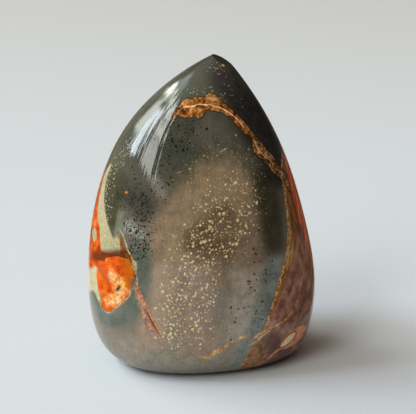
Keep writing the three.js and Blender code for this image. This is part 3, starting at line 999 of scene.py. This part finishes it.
def polished_jasper():
    """Polychrome jasper, ground to shape and polished: opaque and mottled, a gloss just short of a mirror.

    The wheel left faint flats that run from the foot to the point, so the window shows in soft streaks. The
    flat base is ground and left dull."""
    material, tree, surface = new_material("polished_polychrome_jasper")
    paint = Paint(tree, linear("655F4E"))
    for layers in (ground, maroon, eyes, veins, rust):
        layers(paint)
    fine_grain = {"Vector": paint.where, "Scale": 1 / FINE_GRAIN_MM, "Detail": 2.0}
    fine_grain = add(tree, "TexNoise", fine_grain)
    shade = add(tree, "MapRange", {"Value": fine_grain, **FINE_GRAIN_SHADES}, clamp=False)
    colour = add(tree, "VectorMath", {0: paint.colour, "Scale": shade}, operation="SCALE")
    dull = add(tree, "MapRange", {"Value": paint.height, **BASE_FADE})
    polish = add(tree, "MapRange", {"Value": paint.blotch, **POLISH})
    paths = add(tree, "Attribute", output="Vector", attribute_name="wheel_marks")
    paths = add(tree, "VectorMath", {0: paths, 1: (1.0, 1.0, FLAT_DRIFT)}, operation="MULTIPLY")
    flats = {"Vector": paths, "Scale": 1 / FLAT_MM, "Detail": 4.0, "Roughness": 0.6}
    flats = add(tree, "TexNoise", flats)
    fading = add(tree, "MapRange", {"Value": paint.height, **FLAT_FADE}, **SMOOTH)
    shader = add(tree, "BsdfPrincipled", {
        "Base Color": colour,
        "Roughness": add(tree, "Math", {0: dull, 1: polish}, operation="MAXIMUM"),
        "IOR": QUARTZ_IOR,
        "Normal": add(tree, "Bump", {"Height": flats, "Distance": FLAT_DEPTH_MM * MM, "Strength": fading}),
    })
    tree.links.new(shader, surface)
    return material


# The paper that the stone stands on, in mm right of it and behind it, as the camera looks. The same floor
# goes on past its edges, but only the paper shows in the polish.
PAPER = {"right": (-60.0, 46.0), "back": (-260.0, 1500.0)}
FLOOR_MM = 3000.0
# The floor is a cool white round the stone and turns to a warmer grey behind it, between these mm. The grey
# is painted shade, for the window's light that falls off further back.
NEAR_FLOOR, SHADED_FAR_FLOOR = "BFC4CA", "B6B6B6"
NEAR_MM, FAR_MM = 90.0, 430.0


def make_floor():
    """The floor in matt white, as three strips by three, of which the middle one is the paper. Its colour
    greys behind the stone as painted shade.
    """
    material, tree, surface = new_material("matt_paper")
    backwards = np.array([-PICTURE_RIGHT[1], PICTURE_RIGHT[0], 0.0])
    place = add(tree, "TexCoord", output="Object")
    behind = add(tree, "VectorMath", {0: place, 1: backwards}, output="Value", operation="DOT_PRODUCT")
    # Painted shade: the floor's colour greys with distance behind the stone.
    behind = add(tree, "MapRange", {"Value": behind, "From Min": NEAR_MM * MM, "From Max": FAR_MM * MM})
    colour = add(tree, "ValToRGB", {0: behind}, stops={0.0: NEAR_FLOOR, 1.0: SHADED_FAR_FLOOR})
    tree.links.new(add(tree, "BsdfDiffuse", {"Color": colour}), surface)
    across = [-FLOOR_MM, *PAPER["right"], FLOOR_MM]
    along = [-FLOOR_MM, *PAPER["back"], FLOOR_MM]
    corners = [(right * PICTURE_RIGHT + back * backwards) * MM for back in along for right in across]
    strips = [(4 * j + i, 4 * j + i + 1, 4 * j + i + 5, 4 * j + i + 4) for j in range(3) for i in range(3)]
    for name, faces in (("paper", strips[4:5]), ("floor", strips[:4] + strips[5:])):
        mesh = bpy.data.meshes.new(name)
        mesh.from_pydata(corners, [], faces)
        mesh.materials.append(material)
        sheet = bpy.data.objects.new(name, mesh)
        bpy.context.collection.objects.link(sheet)
        sheet.visible_glossy = name == "paper"


# The window: an upright plane to the left of the stone, with six panes and a dim blind over them. Each lies
# as far along it, from front to back, and as high as these shares of its distance. The radiance is in watts
# per square metre and steradian.
WINDOW_DISTANCE_M = 2.3
PANES = {
    "front_lower": {"y": (-1.35, -0.42), "z": (0.53, 0.92), "radiance": 6.8, "tint": "greenish"},
    "front_upper": {"y": (-1.30, -0.45), "z": (0.97, 1.25), "radiance": 9.6, "tint": "greenish"},
    "middle_near": {"y": (-0.12, 0.40), "z": (0.48, 1.16), "radiance": 14.5, "tint": "bluish"},
    "middle_far": {"y": (0.42, 1.10), "z": (0.60, 1.16), "radiance": 7.0, "tint": "greenish"},
    "front_transom": {"y": (-1.20, 0.20), "z": (1.34, 1.60), "radiance": 13.0, "tint": "greenish"},
    "back_transom": {"y": (0.45, 2.10), "z": (1.22, 1.52), "radiance": 12.5, "tint": "greenish"},
    "blind": {"y": (0.00, 1.60), "z": (1.62, 2.10), "radiance": 2.6, "tint": "bluish"},
}
TINTS = {"bluish": (0.84, 0.94, 1.0), "greenish": (0.95, 1.0, 0.93)}
# The light of the room by height, from straight down at 0 over the horizon at 0.5 to straight up at 1. The
# walls are dark and the ceiling is warm. The window's side is lighter up to the horizon, and most so there.
ROOM_LEFT = {
    0.0: (0.17, 0.11, 0.05),
    0.46: (0.17, 0.11, 0.05),
    0.5: (0.38, 0.31, 0.26),
    0.71: (0.05, 0.04, 0.033),
    0.75: (0.05, 0.04, 0.033),
    1.0: (0.58, 0.42, 0.33),
}
ROOM_RIGHT = {
    0.0: (0.1, 0.08, 0.07),
    0.48: (0.1, 0.08, 0.07),
    0.52: (0.03, 0.025, 0.02),
    0.75: (0.03, 0.025, 0.02),
    1.0: (0.58, 0.42, 0.33),
}


def make_window():
    """One flat light for each pane, in the window's plane, which shines to the right."""
    for name, pane in PANES.items():
        data = bpy.data.lights.new(name, "AREA")
        data.shape = "RECTANGLE"
        data.size = (pane["y"][1] - pane["y"][0]) * WINDOW_DISTANCE_M
        data.size_y = (pane["z"][1] - pane["z"][0]) * WINDOW_DISTANCE_M
        data.color = TINTS[pane["tint"]]
        data.energy = pane["radiance"] * data.size * data.size_y * math.pi
        light = bpy.data.objects.new(name, data)
        bpy.context.collection.objects.link(light)
        light.location = (
            -WINDOW_DISTANCE_M,
            sum(pane["y"]) / 2 * WINDOW_DISTANCE_M,
            sum(pane["z"]) / 2 * WINDOW_DISTANCE_M,
        )
        light.rotation_euler = (math.radians(90), 0, math.radians(-90))


def make_room():
    """The light of the room itself, by height and from the window's side to the other."""
    world = bpy.data.worlds.new("room")
    world.use_nodes = True
    tree = world.node_tree
    direction = add(tree, "TexCoord")
    upwards = add(tree, "SeparateXYZ", {0: direction}, output="Z")
    height = add(tree, "MapRange", {"Value": upwards, "From Min": -1.0})
    rightwards = {0: direction, 1: PICTURE_RIGHT}
    rightwards = add(tree, "VectorMath", rightwards, output="Value", operation="DOT_PRODUCT")
    turn = {"Value": rightwards, "From Min": -0.2, "From Max": 0.2}
    light = add(tree, "Mix", {
        0: add(tree, "MapRange", turn, **SMOOTH),
        6: add(tree, "ValToRGB", {0: height}, stops=ROOM_LEFT),
        7: add(tree, "ValToRGB", {0: height}, stops=ROOM_RIGHT),
    }, output=2, data_type="RGBA")
    tree.links.new(light, tree.nodes["Background"].inputs["Color"])
    bpy.context.scene.world = world


make_camera()
make_floor()
make_window()
make_room()
bpy.context.scene.view_settings.view_transform = "Standard"

points, wheel_marks, row_count, shift = stone_form()
mesh = stone_mesh(points, row_count)
surface = MarkedSurface(mesh, points, shift)
lay_out_marks(surface)
surface.keep("wheel_marks", wheel_marks)
surface.keep("height", surface.points[:, 2])
mesh.materials.append(polished_jasper())
stone = bpy.data.objects.new("polished_stone", mesh)
bpy.context.collection.objects.link(stone)
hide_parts("jasper_flame")
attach(stone, "root")

bpy.context.view_layer.update()
